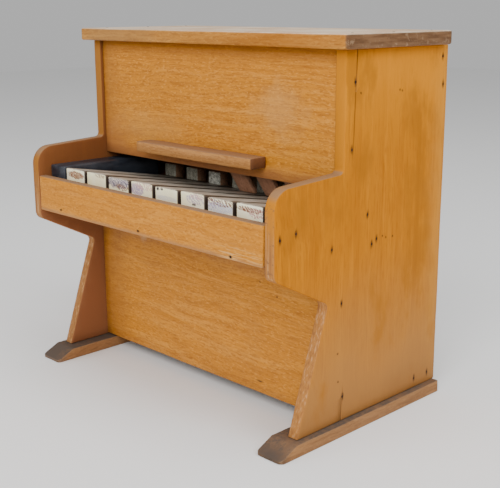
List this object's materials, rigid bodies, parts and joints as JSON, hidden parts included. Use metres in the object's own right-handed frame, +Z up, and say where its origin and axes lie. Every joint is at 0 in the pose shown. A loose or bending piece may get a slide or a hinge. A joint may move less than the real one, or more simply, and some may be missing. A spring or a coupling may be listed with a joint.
{
  "type": "toy upright piano",
  "caption": "Small wooden upright piano with shaped sides, a row of painted keys on a rod, hammers and steel tone bars inside a nailed case.",
  "frame": {"origin": "on the floor, under the middle of the bounding box", "axes": "+X along the keyboard towards the treble, +Y from the front to the back, +Z up"},
  "size_m": [0.2528, 0.158, 0.2407],
  "materials": {
    "side_wood": "amber varnish, worn",
    "panel_wood": "amber varnish, satin",
    "lid_wood": "amber varnish, worn and dusty",
    "foot_wood": "dark varnish, worn",
    "raw_wood": "raw, aged",
    "hammer_wood": "raw, aged brown",
    "key_paint": "cream paint over wood, scuffed",
    "block_paint": "black paint over wood, worn",
    "tail_weight": "dull grey, mottled",
    "felt": "pressed felt",
    "steel": "drawn wire",
    "bar_steel": "ground flat bar"
  },
  "bodies": {
    "case": {"left_side": "side_wood", "right_side": "side_wood", "left_foot": "foot_wood", "right_foot": "foot_wood", "lid": "lid_wood", "upper_panel": "panel_wood", "music_ledge": "panel_wood", "lower_panel": "panel_wood", "key_rail": "panel_wood", "key_bed": "raw_wood", "back_board": "raw_wood", "top_batten": "raw_wood", "bottom_batten": "raw_wood", "left_key_block": "block_paint", "right_key_block": "block_paint", "key_rod": "steel", "balance_rail": "raw_wood", "key_stop_rail": "raw_wood", "key_stop_felt": "felt", "tail_rest_rail": "raw_wood", "hammer_rod": "steel", "front_bar_rail": "raw_wood", "front_bar_felt": "felt", "rear_bar_rail": "raw_wood", "rear_bar_felt": "felt", "tone_bar_1": "bar_steel", "tone_bar_2": "bar_steel", "tone_bar_3": "bar_steel", "tone_bar_4": "bar_steel", "tone_bar_5": "bar_steel", "tone_bar_6": "bar_steel", "tone_bar_7": "bar_steel", "tone_bar_8": "bar_steel"},
    "key_lever_1": {"key_1": "key_paint", "tail_weight_1": "tail_weight"},
    "hammer_lever_1": {"hammer_1": "hammer_wood"},
    "key_lever_2": {"key_2": "key_paint", "tail_weight_2": "tail_weight"},
    "hammer_lever_2": {"hammer_2": "hammer_wood"},
    "key_lever_3": {"key_3": "key_paint", "tail_weight_3": "tail_weight"},
    "hammer_lever_3": {"hammer_3": "hammer_wood"},
    "key_lever_4": {"key_4": "key_paint", "tail_weight_4": "tail_weight"},
    "hammer_lever_4": {"hammer_4": "hammer_wood"},
    "key_lever_5": {"key_5": "key_paint", "tail_weight_5": "tail_weight"},
    "hammer_lever_5": {"hammer_5": "hammer_wood"},
    "key_lever_6": {"key_6": "key_paint", "tail_weight_6": "tail_weight"},
    "hammer_lever_6": {"hammer_6": "hammer_wood"},
    "key_lever_7": {"key_7": "key_paint", "tail_weight_7": "tail_weight"},
    "hammer_lever_7": {"hammer_7": "hammer_wood"},
    "key_lever_8": {"key_8": "key_paint", "tail_weight_8": "tail_weight"},
    "hammer_lever_8": {"hammer_8": "hammer_wood"}
  },
  "joints": [
    {"name": "key_1_press", "type": "hinge", "parent": "case", "child": "key_lever_1", "pos_m": [-0.08265, -0.0216, 0.1332], "axis": [1, 0, 0], "range_deg": [0, 6.5]},
    {"name": "hammer_1_swing", "type": "hinge", "parent": "case", "child": "hammer_lever_1", "pos_m": [-0.08265, -0.0098, 0.1545], "axis": [1, 0, 0], "range_deg": [0, 8.5]},
    {"name": "key_2_press", "type": "hinge", "parent": "case", "child": "key_lever_2", "pos_m": [-0.05797, -0.0216, 0.1332], "axis": [1, 0, 0], "range_deg": [0, 6.5]},
    {"name": "hammer_2_swing", "type": "hinge", "parent": "case", "child": "hammer_lever_2", "pos_m": [-0.05797, -0.0098, 0.1545], "axis": [1, 0, 0], "range_deg": [0, 8.5]},
    {"name": "key_3_press", "type": "hinge", "parent": "case", "child": "key_lever_3", "pos_m": [-0.03329, -0.0216, 0.1332], "axis": [1, 0, 0], "range_deg": [0, 6.5]},
    {"name": "hammer_3_swing", "type": "hinge", "parent": "case", "child": "hammer_lever_3", "pos_m": [-0.03329, -0.0098, 0.1545], "axis": [1, 0, 0], "range_deg": [0, 8.5]},
    {"name": "key_4_press", "type": "hinge", "parent": "case", "child": "key_lever_4", "pos_m": [-0.00861, -0.0216, 0.1332], "axis": [1, 0, 0], "range_deg": [0, 6.5]},
    {"name": "hammer_4_swing", "type": "hinge", "parent": "case", "child": "hammer_lever_4", "pos_m": [-0.00861, -0.0098, 0.1545], "axis": [1, 0, 0], "range_deg": [0, 8.5]},
    {"name": "key_5_press", "type": "hinge", "parent": "case", "child": "key_lever_5", "pos_m": [0.01607, -0.0216, 0.1332], "axis": [1, 0, 0], "range_deg": [0, 6.5]},
    {"name": "hammer_5_swing", "type": "hinge", "parent": "case", "child": "hammer_lever_5", "pos_m": [0.01607, -0.0098, 0.1545], "axis": [1, 0, 0], "range_deg": [0, 9.8]},
    {"name": "key_6_press", "type": "hinge", "parent": "case", "child": "key_lever_6", "pos_m": [0.04075, -0.0216, 0.1332], "axis": [1, 0, 0], "range_deg": [0, 6.5]},
    {"name": "hammer_6_swing", "type": "hinge", "parent": "case", "child": "hammer_lever_6", "pos_m": [0.04075, -0.0098, 0.1545], "axis": [1, 0, 0], "range_deg": [0, 9.8]},
    {"name": "key_7_press", "type": "hinge", "parent": "case", "child": "key_lever_7", "pos_m": [0.06543, -0.0216, 0.1332], "axis": [1, 0, 0], "range_deg": [0, 6.5]},
    {"name": "hammer_7_swing", "type": "hinge", "parent": "case", "child": "hammer_lever_7", "pos_m": [0.06543, -0.0098, 0.1545], "axis": [1, 0, 0], "range_deg": [0, 9.8]},
    {"name": "key_8_press", "type": "hinge", "parent": "case", "child": "key_lever_8", "pos_m": [0.09011, -0.0216, 0.1332], "axis": [1, 0, 0], "range_deg": [0, 6.5]},
    {"name": "hammer_8_swing", "type": "hinge", "parent": "case", "child": "hammer_lever_8", "pos_m": [0.09011, -0.0098, 0.1545], "axis": [1, 0, 0], "range_deg": [0, 9.8]}
  ],
  "couplings": [
    {"joint": "hammer_1_swing", "follows": "key_1_press", "ratio": 1.3},
    {"joint": "hammer_2_swing", "follows": "key_2_press", "ratio": 1.3},
    {"joint": "hammer_3_swing", "follows": "key_3_press", "ratio": 1.3},
    {"joint": "hammer_4_swing", "follows": "key_4_press", "ratio": 1.3},
    {"joint": "hammer_5_swing", "follows": "key_5_press", "ratio": 1.5},
    {"joint": "hammer_6_swing", "follows": "key_6_press", "ratio": 1.5},
    {"joint": "hammer_7_swing", "follows": "key_7_press", "ratio": 1.5},
    {"joint": "hammer_8_swing", "follows": "key_8_press", "ratio": 1.5}
  ]
}
